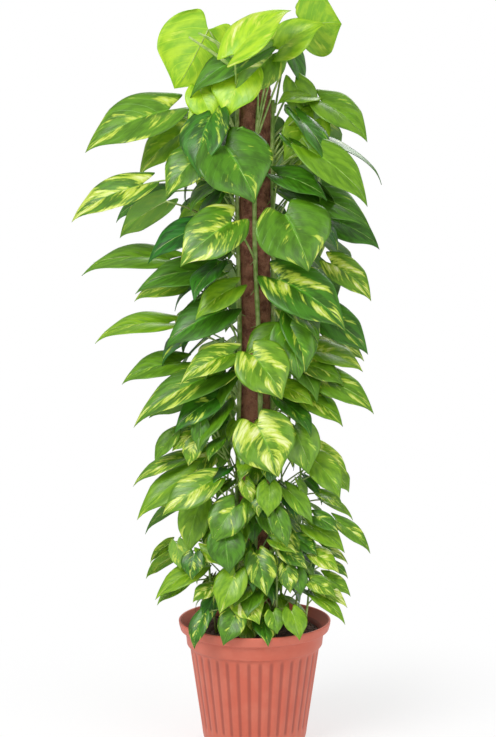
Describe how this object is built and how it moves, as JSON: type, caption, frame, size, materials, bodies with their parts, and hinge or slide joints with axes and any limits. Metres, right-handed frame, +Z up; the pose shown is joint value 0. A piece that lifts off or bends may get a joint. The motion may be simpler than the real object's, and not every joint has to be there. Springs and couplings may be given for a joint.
{
  "type": "potted pothos plant",
  "caption": "Climbing variegated pothos trained up a coir-wrapped pole in a ribbed terracotta-coloured plastic pot.",
  "frame": {"origin": "centre of the pot's flat underside, on the surface it stands on", "axes": "+Z up along the pole; -Y is the front, the side the fullest leaves face; +X to the right seen from the front"},
  "size_m": [0.4786, 0.2994, 1.1715],
  "materials": {
    "terracotta_plastic": "satin moulded plastic with a soft sheen",
    "peat_soil": "matt crumbly peat",
    "coir_fibre": "matt rough fibre",
    "pole_core_wood": "matt raw wood",
    "green_stem": "smooth satin stem",
    "young_leaf": "soft gloss, translucent yellow-green",
    "leaf": "waxy gloss, streaked with cream and yellow"
  },
  "bodies": {
    "root": {"back_left_shoot": "leaf", "back_left_vine": "leaf", "back_right_shoot": "leaf", "back_right_vine": "leaf", "coir_sleeve": "coir_fibre", "crown_leaf_1": "young_leaf", "crown_leaf_2": "young_leaf", "crown_leaf_3": "young_leaf", "crown_leaf_4": "young_leaf", "crown_leaf_5": "young_leaf", "crown_leaf_6": "young_leaf", "crown_leaf_7": "young_leaf", "crown_leaf_8": "young_leaf", "crown_leaf_9": "young_leaf", "front_left_shoot": "leaf", "front_right_shoot": "leaf", "front_vine": "green_stem", "left_base_shoot": "leaf", "left_side_shoot": "leaf", "left_vine": "green_stem", "middle_leaf_1": "leaf", "middle_leaf_10": "leaf", "middle_leaf_11": "leaf", "middle_leaf_12": "leaf", "middle_leaf_13": "leaf", "middle_leaf_14": "leaf", "middle_leaf_15": "leaf", "middle_leaf_16": "leaf", "middle_leaf_17": "leaf", "middle_leaf_2": "leaf", "middle_leaf_3": "leaf", "middle_leaf_4": "leaf", "middle_leaf_5": "leaf", "middle_leaf_6": "leaf", "middle_leaf_7": "leaf", "middle_leaf_8": "leaf", "middle_leaf_9": "leaf", "pole_core": "pole_core_wood", "pot": "terracotta_plastic", "right_lower_base_shoot": "leaf", "right_side_shoot": "leaf", "right_upper_base_shoot": "leaf", "right_vine": "green_stem", "soil": "peat_soil", "upper_leaf_1": "leaf", "upper_leaf_10": "leaf", "upper_leaf_11": "leaf", "upper_leaf_12": "leaf", "upper_leaf_13": "leaf", "upper_leaf_14": "leaf", "upper_leaf_15": "leaf", "upper_leaf_16": "leaf", "upper_leaf_2": "leaf", "upper_leaf_3": "leaf", "upper_leaf_4": "leaf", "upper_leaf_5": "leaf", "upper_leaf_6": "leaf", "upper_leaf_7": "leaf", "upper_leaf_8": "leaf", "upper_leaf_9": "leaf"}
  },
  "joints": []
}
